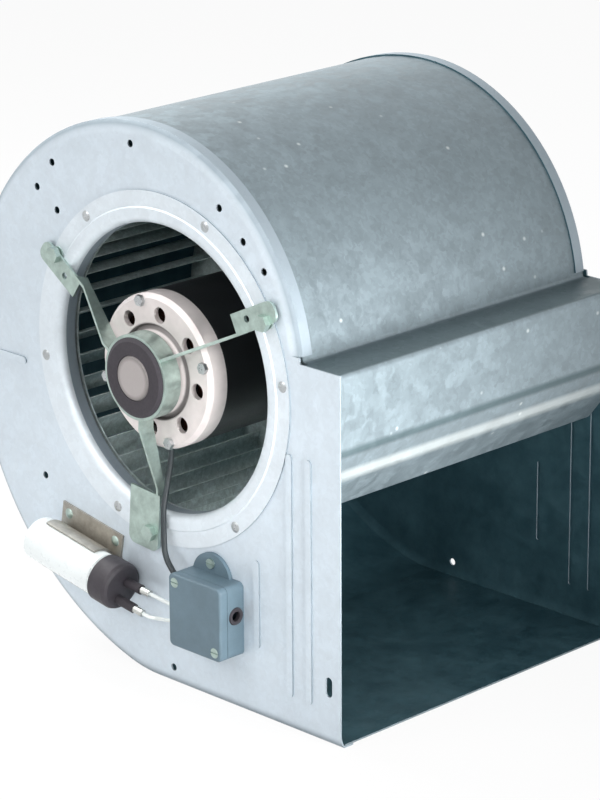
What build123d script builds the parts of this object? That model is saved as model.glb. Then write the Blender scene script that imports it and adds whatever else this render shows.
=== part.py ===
from build123d import *
import copy
import os
from math import asin, atan2, cos, degrees, hypot, pi, radians, sin, sqrt, tan

# Double-inlet centrifugal blower with a forward-curved wheel driven directly by a motor
# in one inlet. Lengths are millimetres.
# The fan frame: X runs along the shaft and is 0 at the wheel's centre disc, with the drive
# side at -X. In every cross-section u points to the outlet (-Y) and w points up (+Z), and
# both are 0 on the shaft. Depth X on the drive side is counted from the outer face of the
# drive side plate, negative outside the housing.

# Housing
casing_width = 282.0
sheet = 1.2
scroll_clearance = 29.5
scroll_step = 30.0
first_centre_u = -18.0
first_centre_w = 16.0
base_spread = 74.0
foot_u = -12.0
foot_turn = 15.0
outlet_lead = 17.0
shelf_height = 33.0
panel_bottom = -19.0
seam_gap = 0.1
bend_radius = 2.5
shoulder_width = 9.0
shoulder_depth = 3.7
rim_depth = 12.0
rim_play = 0.5
rim_above_shelf = 4.0
panel_end = 32.0
opening_lap = 2.0

# Cut-off plate, which closes the outlet's upper corner and makes the tongue beside the wheel
cutoff_sheet = 1.0
tongue_top = 36.0
tongue_mid = 12.0
tongue_lean = 1.2
lip_tip_w = -78.0
ridge_setback = 10.0
ridge_w = -41.0
nose_radius = 4.5
tongue_bend = 60.0
cutoff_bend = 6.0
cutoff_rise = 3.0
cutoff_flange = 18.0

# Fixing holes and pressed beads of the side plates
fixing_hole_r = 2.6
# Distance beyond the inlet ring's flange and angle of the spare holes
spare_holes = [(40.3, 130.3), (14.0, 138.0), (30.7, 99.8), (13.4, 64.6), (9.1, 52.5),
               (10.2, 41.6)]
fixing_line_inset = 1.1
fixing_line_span = 208.4
base_hole_u = 7.4
base_hole_rise = 12.1
slot_setback = 10.5
slot_rise = 41.0
slot_width = 6.0
slot_length = 14.0
bead_width = 5.0
bead_height = 1.0
bead_rise = 24.0
bead_top = -30.0
front_bead_setbacks = [28.3, 46.0]
short_bead_setback = 77.0
short_bead_rise = 81.0
short_bead_length = 62.0
back_bead_gap = 30.5
back_bead_w = -24.0
back_bead_length = 30.0

# Inlet rings
ring_sheet = 1.0
throat_radius = 100.0
roll_radius = 6.0
ring_flat = 4.6
ring_flange = 11.9
ring_raise = 1.0
throat_depth = 12.0
ring_step_slope = 0.4
ring_rivet_inset = 5.5
ring_rivet_count = 6
ring_rivet_angle = 7.2
rivet_r = 2.0
rivet_head_r = 3.8
rivet_head_height = 1.2
rivet_tail = 2.4
rivet_tail_lip = 0.8
rivet_play = 0.1

# Wheel
blade_lap = 2.5
blade_depth = 18.0
blade_count = 42
blade_sheet = 0.8
blade_turn = 66.0
wheel_sheet = 1.2
inlet_gap = 3.5
end_ring_sheet = 1.0
end_ring_rim = 5.0
end_ring_lap = 1.0
rim_clearance = 0.3

# Hub
shaft_r = 6.35
shaft_tail = 4.0
hub_play = 0.02
hub_r = 16.0
hub_length = 34.0
hub_overhang = 6.0
hub_flange_r = 30.0
hub_flange = 4.0
hub_rivet_circle = 46.0
hub_rivet_count = 6
set_screw_r = 3.0
set_screw_place = 12.0
set_screw_sink = 0.5
socket_r = 1.5
socket_depth = 3.0

# Motor
motor_front = -5.0
motor_r = 53.4
motor_gap = 14.6
shield_length = 15.0
shield_wall = 4.0
shield_corner = 3.0
shield_root = 2.0
shield_skirt = 7.0
shield_hole_r = 5.6
shield_hole_inset = 12.9
shield_hole_count = 8
shield_hole_angle = 38.0
shield_groove_inset = 21.4
shield_groove_depth = 2.5
shield_groove_side = 2.0
boss_chamfer = 1.0
bush_wall = 4.0
stack_inset = 0.4
slot_depth = 13.0
air_gap = 0.5
winding_inset = 9.4
winding_gap = 2.0
winding_reach = 7.0
winding_round = 1.5
winding_slope = 4.0
neck_reach = 4.0
neck_width = 6.5
boss_r = 15.5
boss_reach = 21.0
bush_r = 12.0
bush_length = 12.0
bush_running = 0.05
end_cap = 3.0
motor_bolt_r = 2.0
motor_bolt_inset = 4.4
motor_hex_across = 7.0
motor_head_height = 2.8
motor_nut_height = 3.2
motor_bolt_count = 4
motor_bolt_angle = 15.5
bolt_play = 0.1

# Resilient mount and its three arms
rubber_r = 27.4
rubber_width = 12.0
rubber_setback = 0.5
rubber_edge = 2.5
rubber_edge_depth = 1.5
collar_sheet = 2.0
collar_width = 14.0
collar_setback = 2.0
arm_setback = 1.0
fit_gap = 0.1
arm_sheet = 2.0
arm_depth = 12.0
arm_root = 7.0
arm_bend_lead = 4.0
arm_heel = 6.0
arm_angle = 25.5
arm_offset = 3.7
arm_bend_inset = 12.0
arm_foot_reach = 7.5
arm_foot_side = 15.0
low_foot_left = 4.0
low_foot_right = 25.0
low_bolt_side = -3.7
arm_foot_round = 6.0
arm_hole_r = 2.4
arm_bolt_r = 3.0
arm_bolt_side = 2.3
arm_hole_gap = 2.0
arm_hole_side = 8.5
hex_across = 10.0
hex_height = 4.0
nut_height = 5.0

# Run capacitor in its spring clip
can_r = 15.5
can_length = 73.0
can_foot_round = 2.0
can_foot_edge = 0.6
can_bead = 1.0
can_bead_depth = 0.7
boot_wall = 1.5
boot_clearance = 0.8
boot_length = 17.0
boot_overlap = 3.0
boot_round = 3.0
boot_edge = 0.9
can_angle = -9.6
can_end_u = -24.0
can_drop = 34.5
clip_sheet = 1.5
clip_length = 50.0
clip_wrap_angle = 205.0
clip_middle = 52.0
clip_foot = 25.5
clip_foot_length = 62.0
clip_play = 0.3
clip_rivet_inset = 7.0

# Terminal box
box_left = 27.0
box_width = 50.0
box_height = 52.0
box_drop = 8.5
box_depth = 22.0
box_lid = 7.0
box_wall = 2.5
box_corner = 4.0
lid_gap = 0.3
ear_r = 18.0
ear_rise = 14.0
ear_thickness = 3.0
ear_shift = -3.0
ear_screw_drop = 7.0
lid_screw_r = 1.75
screw_head_height = 1.5
screw_bite = 6.0
thread_play = 0.05
lid_screw_inset = 6.0
lid_post_r = 4.0
lid_post_bore = 9.0
lid_round = 1.5
grommet_drop = 22.0
grommet_x = -7.5
grommet_r = 4.9
grommet_bore_r = 3.4
grommet_rim = 1.3
grommet_flange = 1.0
grommet_round = 0.5
grommet_mouth = 0.6

# Leads
motor_lead_r = 2.0
capacitor_lead_r = 1.3
sleeve_r = 3.4
connector_r = 2.6
sleeve_length = 20.0
connector_length = 8.0
lead_straight = 6.0
lead_play = 0.1
lead_clearance = 0.7
lead_tail = 2.0

half_width = casing_width / 2
rim_end = shelf_height + rim_above_shelf
ring_raised_r = throat_radius + roll_radius + ring_flat
ring_flange_r = ring_raised_r + ring_flange
ring_rivet_circle = ring_flange_r - ring_rivet_inset
blade_inner_r = throat_radius + blade_lap
wheel_outer_r = blade_inner_r + blade_depth
first_scroll_radius = wheel_outer_r + scroll_clearance
base_drop = first_scroll_radius + base_spread
outlet_front = first_scroll_radius + outlet_lead
ridge_u = outlet_front - ridge_setback
winding_r = motor_r - winding_inset
stator_bore_r = winding_r - slot_depth
shield_hole_circle = motor_r - shield_hole_inset
shield_groove_r = motor_r - shield_groove_inset
motor_bolt_circle = motor_r - motor_bolt_inset
neck_r = boss_r + neck_width
hub_end = wheel_sheet / 2 + hub_overhang
hub_start = hub_end - hub_length
motor_back = half_width + hub_start - motor_gap - neck_reach
stator_start = motor_front + shield_length
stator_end = motor_back - shield_length
arm_bend_r = throat_radius - arm_bend_inset
arm_hole_circle = throat_radius + arm_hole_gap
arm_bolt_circle = ring_rivet_circle
arm_foot_end = ring_flange_r + arm_foot_reach
boot_r = can_r + boot_wall
can_depth = -boot_r - boot_clearance
can_end_w = -ring_flange_r - can_drop
box_right = box_left + box_width
box_top = -ring_flange_r - box_drop
box_bottom = box_top - box_height
grommet_w = box_top - grommet_drop


def scroll_sections():
    """Scroll arcs from the outlet over the top and back to the base.

    Each is (centre u, centre w, radius, start angle, angle swept backwards). The last two
    meet foot_turn short of the base, with radii that bring them onto it at foot_u.
    """
    second_w = first_centre_w - scroll_step
    second_r = first_scroll_radius + scroll_step
    back_u = first_centre_u - second_r
    drop, reach = base_drop + second_w, foot_u - back_u
    c, s = cos(radians(foot_turn)), sin(radians(foot_turn))
    share = c * s - (1 - c) * (1 - s)
    third_r = (drop * s - reach * (1 - c)) / share
    last_r = (reach * c - drop * (1 - s)) / share
    return [
        (first_centre_u, first_centre_w, first_scroll_radius, 90, 90),
        (first_centre_u, second_w, second_r, 180, 90),
        (back_u + third_r, second_w, third_r, 270 - foot_turn, 90 - foot_turn),
        (foot_u, last_r - base_drop, last_r, 270, foot_turn),
    ]


scroll_arcs = scroll_sections()


def drive(depth):
    """X in the fan frame of a depth counted from the drive side plate's outer face."""
    return depth - half_width


def section_plane(x=0.0):
    """Plane across the shaft whose local axes are u and w, facing the drive side."""
    return Plane(origin=(x, 0, 0), x_dir=(0, -1, 0), z_dir=(-1, 0, 0))


def plate(sketch, outer_x, thickness):
    """Solid of a (u, w) sketch from outer_x, the end nearer the drive side, along +X."""
    return extrude(section_plane(outer_x) * sketch, amount=-thickness)


def turned(points, x_shift=0.0):
    """Solid of revolution about the shaft from (X, radius) points."""
    outline = Polyline(*[(x + x_shift, r) for x, r in points], close=True)
    return revolve(make_face((Plane.XZ * outline).edges()), Axis.X)


def tube(x0, x1, outer_r, inner_r=0.0):
    """Plain tube or bar on the shaft's axis from x0 to x1."""
    return turned([(x0, inner_r), (x1, inner_r), (x1, outer_r), (x0, outer_r)])


def bar(u, w, radius, x0, x1):
    """Round bar parallel to the shaft through (u, w)."""
    return plate(Pos(u, w) * Circle(radius), x0, x1 - x0)


def hexagon(u, w, across):
    """Hexagon sketch at (u, w)."""
    return Pos(u, w) * RegularPolygon(across / 2, 6, major_radius=False)


def polar(radius, angle):
    """(u, w) of a point at an angle counted from u towards w."""
    return radius * cos(radians(angle)), radius * sin(radians(angle))


def circle_places(radius, count, start):
    """(u, w) of equal steps round a circle."""
    return [polar(radius, start + 360 * i / count) for i in range(count)]


def turn_about_shaft(shape, angle):
    """Turns a shape in the (u, w) plane, from u towards w."""
    return Rot(X=-angle) * shape


def offset_corners(points, distance):
    """Corners of a polyline moved sideways, to the left of its direction for a plus."""
    moved = []
    for i, (px, py) in enumerate(points):
        normals = []
        for a, b in ((i - 1, i), (i, i + 1)):
            if a >= 0 and b < len(points):
                dx, dy = points[b][0] - points[a][0], points[b][1] - points[a][1]
                length = hypot(dx, dy)
                normals.append((-dy / length, dx / length))
        nx = sum(n[0] for n in normals) / len(normals)
        ny = sum(n[1] for n in normals) / len(normals)
        scale = distance / (nx * nx + ny * ny)
        moved.append((px + nx * scale, py + ny * scale))
    return moved


def folded_sheet(points, radii, thickness):
    """Face of a bent sheet whose middle line runs through the points."""
    sides = []
    for side in (1, -1):
        fitted = []
        for i, radius in enumerate(radii):
            (ax, ay), (bx, by), (cx, cy) = points[i:i + 3]
            left_turn = (bx - ax) * (cy - by) - (by - ay) * (cx - bx) > 0
            inside = left_turn == (side > 0)
            fitted.append(radius - thickness / 2 if inside else radius + thickness / 2)
        corners = offset_corners(points, side * thickness / 2)
        sides.append((corners, FilletPolyline(*corners, radius=fitted)))
    (left, left_line), (right, right_line) = sides
    caps = [Line(left[0], right[0]), Line(left[-1], right[-1])]
    return make_face(left_line.edges() + right_line.edges() + [cap.edge() for cap in caps])


def scroll_line(inset, end_height):
    """Edges of the scroll from the bottom arc's foot over the back and top to the shelf."""
    edges = []
    for cu, cw, radius, start, turn in reversed(scroll_arcs):
        end = start - turn
        if start == 90:
            end = degrees(asin((end_height - cw) / (radius - inset)))
        edges.append(CenterArc((cu, cw), radius - inset, start, end - start).edge())
    return edges


def housing_face(inset, front, shelf):
    """Area inside the scroll at an inset, out to the front edge and up to the shelf."""
    edges = scroll_line(inset, shelf)
    foot = edges[0] @ 0
    shoulder = edges[-1] @ 1
    front_foot = (front, foot.Y)
    front_top = (front, shelf)
    edges.append(Line(front_foot, (foot.X, foot.Y)).edge())
    edges.append(Line((shoulder.X, shoulder.Y), front_top).edge())
    edges.append(Line(front_top, front_foot).edge())
    return make_face(edges)


def corners_near(face, u, w, reach=1.0):
    """Corners of a face near a place."""
    return [v for v in face.vertices() if hypot(v.X - u, v.Y - w) < reach]


def rounded_housing(inset, front, shelf, turn, edge):
    """Housing area with the sheet's bends at the shelf's back and front."""
    face = housing_face(inset, front, shelf)
    radius = first_scroll_radius - inset
    back_u = first_centre_u + sqrt(radius ** 2 - (shelf - first_centre_w) ** 2)
    face = fillet(corners_near(face, back_u, shelf), turn)
    return fillet(corners_near(face, front, shelf), edge)


def scroll_wrap():
    """Rolled wrap with the shelf and front panel bent from its upper end."""
    outer = sheet + seam_gap
    skin = rounded_housing(outer, outlet_front, shelf_height, bend_radius,
                           bend_radius + sheet)
    skin -= rounded_housing(outer + sheet, outlet_front - sheet, shelf_height - sheet,
                            bend_radius + sheet, bend_radius)
    base = outer + sheet - base_drop
    skin -= Pos(outlet_front, (base + panel_bottom) / 2) * Rectangle(
        4 * sheet, panel_bottom - base)
    edge = half_width - shoulder_depth - rim_play - seam_gap
    front_edge = half_width - sheet - seam_gap
    body = plate(skin, -edge, 2 * edge)
    front_area = Pos(outlet_front - panel_end, 0) * Rectangle(
        2 * panel_end, 2 * (shelf_height + sheet), align=(Align.MIN, Align.CENTER))
    return body + plate(skin & front_area, -front_edge, 2 * front_edge)


def cutoff_plate():
    """Folded plate from the panel's back down to the lip and up beside the wheel."""
    wrap_inner = first_scroll_radius - 2 * sheet - 2 * seam_gap - cutoff_sheet / 2
    top_u = first_centre_u + sqrt(wrap_inner ** 2 - (tongue_top - first_centre_w) ** 2)
    mid_u = first_centre_u + wrap_inner
    flange_u = outlet_front - sheet - seam_gap - cutoff_sheet / 2
    flange_w = panel_bottom - cutoff_rise
    line = [
        (top_u, tongue_top),
        (mid_u, tongue_mid),
        (mid_u - tongue_lean, lip_tip_w),
        (ridge_u, ridge_w),
        (flange_u, flange_w),
        (flange_u, flange_w + cutoff_flange),
    ]
    face = folded_sheet(line, [tongue_bend, nose_radius, cutoff_bend, cutoff_bend], cutoff_sheet)
    edge = half_width - sheet - seam_gap
    return plate(face, -edge, 2 * edge)


def rim_section():
    """(s, depth) outline of the side plate's drawn shoulder, s counted inwards."""
    big = (shoulder_width ** 2 + shoulder_depth ** 2) / (2 * shoulder_depth)
    small = big - sheet
    inner_depth = big - sqrt(small ** 2 - (shoulder_width - sheet) ** 2)
    half = asin(shoulder_width / big) / 2
    half_in = asin((shoulder_width - sheet) / small) / 2
    outer_mid = (shoulder_width - big * sin(half), big - big * cos(half))
    inner_mid = (shoulder_width - small * sin(half_in), big - small * cos(half_in))
    return [
        ThreePointArc((shoulder_width, 0), outer_mid, (0, shoulder_depth)),
        Polyline((0, shoulder_depth), (0, rim_depth), (sheet, rim_depth),
                 (sheet, inner_depth)),
        ThreePointArc((sheet, inner_depth), inner_mid, (shoulder_width, sheet)),
        Line((shoulder_width, sheet), (shoulder_width, 0)),
    ]


def rim_face(radius):
    """The shoulder's section standing above the shaft at a scroll radius."""
    frame = Plane(origin=(-half_width, 0, radius), x_dir=(0, 0, -1), z_dir=(0, -1, 0))
    edges = []
    for line in rim_section():
        edges += line.edges()
    return frame * make_face(edges)


def plate_rim():
    """Drawn shoulder and flange, turned about the scroll's centres and run along its base."""
    pieces = []
    for cu, cw, radius, start, sweep_angle in scroll_arcs:
        if start == 90:
            sweep_angle -= degrees(asin((rim_end - cw) / radius))
        band = revolve(rim_face(radius), Axis.X, revolution_arc=sweep_angle)
        pieces.append(Pos(0, -cu, cw) * turn_about_shaft(band, start - 90))
    cu, cw, radius, _, _ = scroll_arcs[-1]
    run = extrude(rim_face(radius), amount=outlet_front - cu, dir=(0, 1, 0))
    pieces.append(Pos(0, -cu, cw) * turn_about_shaft(run, 180))
    return pieces


def bead_outlines(width):
    """(u, w) slots of the pressed beads at one width."""
    bead_bottom = bead_rise - base_drop
    upright = bead_top - bead_bottom
    middle = (bead_top + bead_bottom) / 2
    beads = [(outlet_front - setback, middle, upright, 90) for setback in front_bead_setbacks]
    beads.append((outlet_front - short_bead_setback, short_bead_rise - base_drop,
                  short_bead_length, 90))
    beads.append((-ring_flange_r - back_bead_gap, back_bead_w, back_bead_length, 0))
    return [Pos(u, w) * Rot(Z=turn) * SlotOverall(length - (bead_width - width), width)
            for u, w, length, turn in beads]


def side_holes():
    """(u, w) of the round fixing holes that the side plates have."""
    line_u = fixing_line_inset - ring_flange_r
    line = [(line_u, side * fixing_line_span / 2) for side in (1, -1)]
    upper = [polar(ring_flange_r + gap, angle) for gap, angle in spare_holes]
    return line + upper + [(base_hole_u, base_hole_rise - base_drop)]


def side_plate():
    """Side plate of the drive side: flat face, drawn rim, beads and holes."""
    area = housing_face(shoulder_width, outlet_front, shelf_height)
    below_rim = Pos(outlet_front, (rim_end + shelf_height) / 2) * Rectangle(
        outlet_front, rim_above_shelf)
    area += housing_face(0, outlet_front, shelf_height) & below_rim
    area -= Circle(ring_raised_r - opening_lap)
    for u, w in side_holes():
        area -= Pos(u, w) * Circle(fixing_hole_r)
    for u, w in circle_places(ring_rivet_circle, ring_rivet_count, ring_rivet_angle):
        area -= Pos(u, w) * Circle(rivet_r + rivet_play)
    area -= Pos(outlet_front - slot_setback, slot_rise - base_drop) * Rot(
        Z=90) * SlotOverall(slot_length, slot_width)
    body = plate(area, -half_width, sheet)
    for piece in plate_rim():
        body += piece
    for slot in bead_outlines(bead_width):
        body += plate(slot, -half_width - bead_height, bead_height + sheet / 2)
    for slot in bead_outlines(bead_width - 2 * sheet):
        body -= plate(slot, -half_width - bead_height + sheet, sheet)
    return body


def inlet_ring():
    """Inlet ring of the drive side: flange on the plate, step, rolled lip and throat."""
    t = ring_sheet
    front = -t - ring_raise
    roll_r = throat_radius + roll_radius
    mid = 0.5 ** 0.5
    outer = [
        Polyline((0, ring_flange_r), (-t, ring_flange_r), (-t, ring_raised_r + t),
                 (front, ring_raised_r), (front, roll_r)),
        ThreePointArc((front, roll_r),
                      (front + roll_radius * (1 - mid), roll_r - roll_radius * mid),
                      (front + roll_radius, throat_radius)),
        Polyline((front + roll_radius, throat_radius), (throat_depth, throat_radius),
                 (throat_depth, throat_radius + t), (front + roll_radius, throat_radius + t)),
        ThreePointArc((front + roll_radius, throat_radius + t),
                      (front + roll_radius - (roll_radius - t) * mid,
                       roll_r - (roll_radius - t) * mid),
                      (front + t, roll_r)),
        Polyline((front + t, roll_r), (front + t, ring_raised_r + ring_step_slope * t),
                 (0, ring_raised_r + (1 + ring_step_slope) * t), (0, ring_flange_r)),
    ]
    edges = []
    for line in outer:
        edges += line.edges()
    body = revolve(Pos(-half_width, 0, 0) * Plane.XZ * make_face(edges), Axis.X)
    for u, w in circle_places(ring_rivet_circle, ring_rivet_count, ring_rivet_angle):
        body -= bar(u, w, rivet_r + rivet_play, drive(-3 * t), drive(t))
    return body


def blind_rivet(u, w, grip_x0, grip_x1, radius=rivet_r):
    """Rivet along X with a domed head before grip_x0 and an upset tail after grip_x1."""
    head = Pos(grip_x0, 0, 0) * Rot(Y=-90) * dome(rivet_head_r, rivet_head_height)
    shank = tube(grip_x0, grip_x1, radius)
    tail = tube(grip_x1, grip_x1 + rivet_tail, radius + rivet_tail_lip)
    return Pos(0, -u, w) * (head + shank + tail)


def dome(radius, height):
    """Low dome standing on the XY plane."""
    big = (radius ** 2 + height ** 2) / (2 * height)
    half = asin(radius / big) / 2
    arc = ThreePointArc((radius, 0), (big * sin(half), big * cos(half) - big + height),
                        (0, height))
    edges = arc.edges() + [Line((0, height), (0, 0)).edge(), Line((0, 0), (radius, 0)).edge()]
    return revolve(Plane.XZ * make_face(edges), Axis.Z)


def ring_rivets():
    """Rivets that hold the drive side's inlet ring."""
    places = circle_places(ring_rivet_circle, ring_rivet_count, ring_rivet_angle)
    return [blind_rivet(u, w, drive(-ring_sheet), drive(sheet)) for u, w in places]


def blade_face(angle):
    """Forward-curved blade: radial at its inner edge, leaning forward to its tip."""
    along, across = sin(radians(blade_turn)), 1 - cos(radians(blade_turn))
    chord_2 = along ** 2 + across ** 2
    root = (blade_inner_r * along) ** 2 + chord_2 * (wheel_outer_r ** 2 - blade_inner_r ** 2)
    arc_r = (sqrt(root) - blade_inner_r * along) / chord_2
    inner = CenterArc((blade_inner_r, arc_r), arc_r, -90, blade_turn)
    outer = CenterArc((blade_inner_r, arc_r), arc_r - blade_sheet, -90, blade_turn)
    caps = [Line(inner @ 0, outer @ 0), Line(inner @ 1, outer @ 1)]
    edges = inner.edges() + outer.edges() + [cap.edge() for cap in caps]
    return Rot(Z=angle) * make_face(edges)


def blade_row():
    """Blades of the drive side, from the end ring to the centre disc."""
    x0 = drive(throat_depth + inlet_gap) + end_ring_sheet
    length = -wheel_sheet / 2 - x0
    return [plate(blade_face(360 * i / blade_count), x0, length) for i in range(blade_count)]


def end_ring():
    """Ring that ties the blades' ends on the drive side."""
    x0 = drive(throat_depth + inlet_gap)
    t = end_ring_sheet
    inner_r = blade_inner_r - end_ring_lap
    rim_r = wheel_outer_r + rim_clearance
    return turned([
        (x0, inner_r), (x0, rim_r + t), (x0 + end_ring_rim, rim_r + t),
        (x0 + end_ring_rim, rim_r), (x0 + t, rim_r), (x0 + t, inner_r),
    ])


def centre_disc():
    """Disc between the two blade rows."""
    half = wheel_sheet / 2
    disc = tube(-half, half, wheel_outer_r, hub_r + fit_gap)
    for u, w in circle_places(hub_rivet_circle / 2, hub_rivet_count, 0):
        disc -= bar(u, w, rivet_r + rivet_play, -half, half)
    return disc


def wheel_hub():
    """Turned hub with a riveting flange and a tapped hole for its set screw."""
    flange_x = wheel_sheet / 2
    hub = turned([
        (hub_start, shaft_r + hub_play), (hub_end, shaft_r + hub_play), (hub_end, hub_r),
        (flange_x + hub_flange, hub_r), (flange_x + hub_flange, hub_flange_r),
        (flange_x, hub_flange_r), (flange_x, hub_r), (hub_start, hub_r),
    ])
    for u, w in circle_places(hub_rivet_circle / 2, hub_rivet_count, 0):
        hub -= bar(u, w, rivet_r + rivet_play, flange_x, flange_x + hub_flange)
    hub -= Pos(-set_screw_place, 0, 0) * Cylinder(set_screw_r + fit_gap / 2, 2 * hub_r,
                                                  align=(Align.CENTER, Align.CENTER, Align.MIN))
    return hub


def set_screw():
    """Socket set screw on the shaft."""
    length = hub_r - shaft_r - set_screw_sink
    screw = Cylinder(set_screw_r, length - 2 * hub_play,
                     align=(Align.CENTER, Align.CENTER, Align.MIN))
    socket = extrude(RegularPolygon(socket_r, 6), socket_depth)
    screw -= Pos(0, 0, length - socket_depth) * socket
    return Pos(-set_screw_place, 0, shaft_r + hub_play) * screw


def hub_rivets():
    """Rivets through the hub's flange and the centre disc."""
    places = circle_places(hub_rivet_circle / 2, hub_rivet_count, 0)
    return [blind_rivet(u, w, -wheel_sheet / 2, wheel_sheet / 2 + hub_flange)
            for u, w in places]


def motor_holes(body, x0, x1):
    """Body with the through bolts' holes."""
    for u, w in circle_places(motor_bolt_circle, motor_bolt_count, motor_bolt_angle):
        body -= bar(u, w, motor_bolt_r + bolt_play, x0, x1)
    return body


def end_shield_front():
    """Cast end shield of the drive side, with its cooling holes and mounting boss."""
    x0, x1 = drive(motor_front), drive(stator_start)
    boss_x = x0 - boss_reach
    inner_r = motor_r - shield_skirt
    body = turned([
        (boss_x, 0), (boss_x, boss_r - boss_chamfer), (boss_x + boss_chamfer, boss_r),
        (x0 - neck_reach, boss_r), (x0 - neck_reach, neck_r),
        (x0 + shield_groove_side / 2, shield_groove_r - shield_groove_side),
        (x0 + shield_groove_depth, shield_groove_r),
        (x0, shield_groove_r + shield_groove_side / 2), (x0, motor_r - shield_corner),
        (x0 + shield_corner, motor_r), (x1, motor_r), (x1, inner_r),
        (x0 + shield_wall + shield_root, inner_r), (x0 + shield_wall, inner_r - shield_root),
        (x0 + shield_wall, bush_r),
        (boss_x + end_cap, bush_r), (boss_x + end_cap, 0),
    ])
    for u, w in circle_places(shield_hole_circle, shield_hole_count, shield_hole_angle):
        body -= bar(u, w, shield_hole_r, x0 - 1, x0 + shield_wall + 1)
    body -= lead_bore()
    return motor_holes(body, x0 - 1, x1 + 1)


def lead_bore():
    """Radial hole in the front shield's skirt for the motor's lead."""
    u, w, x = motor_lead_route()[0]
    return Pos(drive(x), -u, 0) * Rot(X=180) * Cylinder(
        motor_lead_r + lead_play, motor_r + 2, align=(Align.CENTER, Align.CENTER, Align.MIN))


def end_shield_back():
    """End shield inside the wheel, where the shaft comes out."""
    x0, x1 = drive(stator_end), drive(motor_back)
    inner_r = motor_r - shield_skirt
    hole_r = shaft_r + 1
    body = turned([
        (x0, inner_r), (x0, motor_r), (x1 - shield_corner, motor_r),
        (x1, motor_r - shield_corner), (x1, neck_r + shield_root), (x1 + neck_reach, neck_r),
        (x1 + neck_reach, hole_r), (x1 + neck_reach / 2, hole_r),
        (x1 + neck_reach / 2, bush_r), (x1 - bush_length, bush_r),
        (x1 - bush_length, bush_r + bush_wall),
        (x1 - shield_wall, bush_r + bush_wall + 1), (x1 - shield_wall, inner_r - shield_root),
        (x1 - shield_wall - shield_root, inner_r),
    ])
    for u, w in circle_places(shield_hole_circle, shield_hole_count, shield_hole_angle):
        body -= bar(u, w, shield_hole_r, x1 - shield_wall - 1, x1 + 1)
    return motor_holes(body, x0 - 1, x1 + 1)


def stator():
    """Lamination stack with the through bolts' holes."""
    x0, x1 = drive(stator_start), drive(stator_end)
    return motor_holes(tube(x0, x1, motor_r - stack_inset, stator_bore_r), x0 - 1, x1 + 1)


def windings():
    """End turns that stand out of the stack on both sides."""
    inner_r = stator_bore_r + winding_gap
    pieces = []
    for face_x, way in ((drive(stator_start), -1), (drive(stator_end), 1)):
        far_x = face_x + way * winding_reach
        pieces.append(turned([
            (face_x, inner_r), (far_x, inner_r + winding_round),
            (far_x + way * winding_round, inner_r + winding_slope),
            (far_x + way * winding_round, winding_r - winding_slope),
            (far_x, winding_r - winding_round), (face_x, winding_r),
        ]))
    return pieces


bush_front_x = drive(motor_front) - boss_reach + end_cap + 2
bush_back_x = drive(motor_back) + neck_reach / 2 - bush_length


def bushes():
    """Sleeve bearings of the motor."""
    bore = shaft_r + bush_running
    return [tube(x, x + bush_length, bush_r - hub_play, bore)
            for x in (bush_front_x, bush_back_x)]


def shaft():
    """Motor shaft from the front boss to the wheel's hub."""
    return tube(drive(motor_front) - boss_reach + end_cap + 1,
                hub_end + shaft_tail, shaft_r)


def rotor():
    """Rotor core on the shaft."""
    return tube(drive(stator_start), drive(stator_end), stator_bore_r - air_gap,
                shaft_r + hub_play)


def thrust_washers():
    """Washers on the shaft inside each bush."""
    gap = 0.3
    outer_r, inner_r, width = shaft_r + 3, shaft_r + hub_play, 1.5
    places = [bush_front_x + bush_length + gap, bush_back_x - gap - width]
    return [tube(x, x + width, outer_r, inner_r) for x in places]


def motor_bolts():
    """Through bolts with hex heads in front and nuts behind."""
    x0, x1 = drive(motor_front), drive(motor_back)
    bolts, nuts = [], []
    for u, w in circle_places(motor_bolt_circle, motor_bolt_count, motor_bolt_angle):
        outline = hexagon(u, w, motor_hex_across)
        bolt = bar(u, w, motor_bolt_r, x0, x1 + motor_nut_height + 1)
        bolts.append(bolt + plate(outline, x0 - motor_head_height, motor_head_height))
        nut = plate(outline, x1, motor_nut_height)
        nuts.append(nut - bar(u, w, motor_bolt_r + hub_play, x1 - 1, x1 + 5))
    return bolts, nuts


rubber_front = motor_front - boss_reach + rubber_setback
collar_front = rubber_front + collar_setback
collar_r = rubber_r + fit_gap + collar_sheet


def rubber_ring():
    """Resilient ring on the end shield's boss."""
    x0 = drive(rubber_front)
    x1 = x0 + rubber_width
    inner_r = boss_r + fit_gap
    return turned([
        (x0, inner_r), (x0, rubber_r - rubber_edge), (x0 + rubber_edge_depth, rubber_r),
        (x1, rubber_r), (x1, inner_r),
    ])


def collar():
    """Steel band round the rubber, to which the arms are fixed."""
    x0 = drive(collar_front)
    return tube(x0, x0 + collar_width, collar_r, rubber_r + fit_gap)


foot_front = -ring_sheet - ring_raise - arm_sheet
arms = [
    ("front", 0, arm_foot_side, 0.0, arm_bolt_side, arm_hole_side),
    ("rear", 1, arm_foot_side, 0.0, arm_bolt_side, arm_hole_side),
    ("bottom", 2, low_foot_left, low_foot_right, low_bolt_side, None),
]


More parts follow.
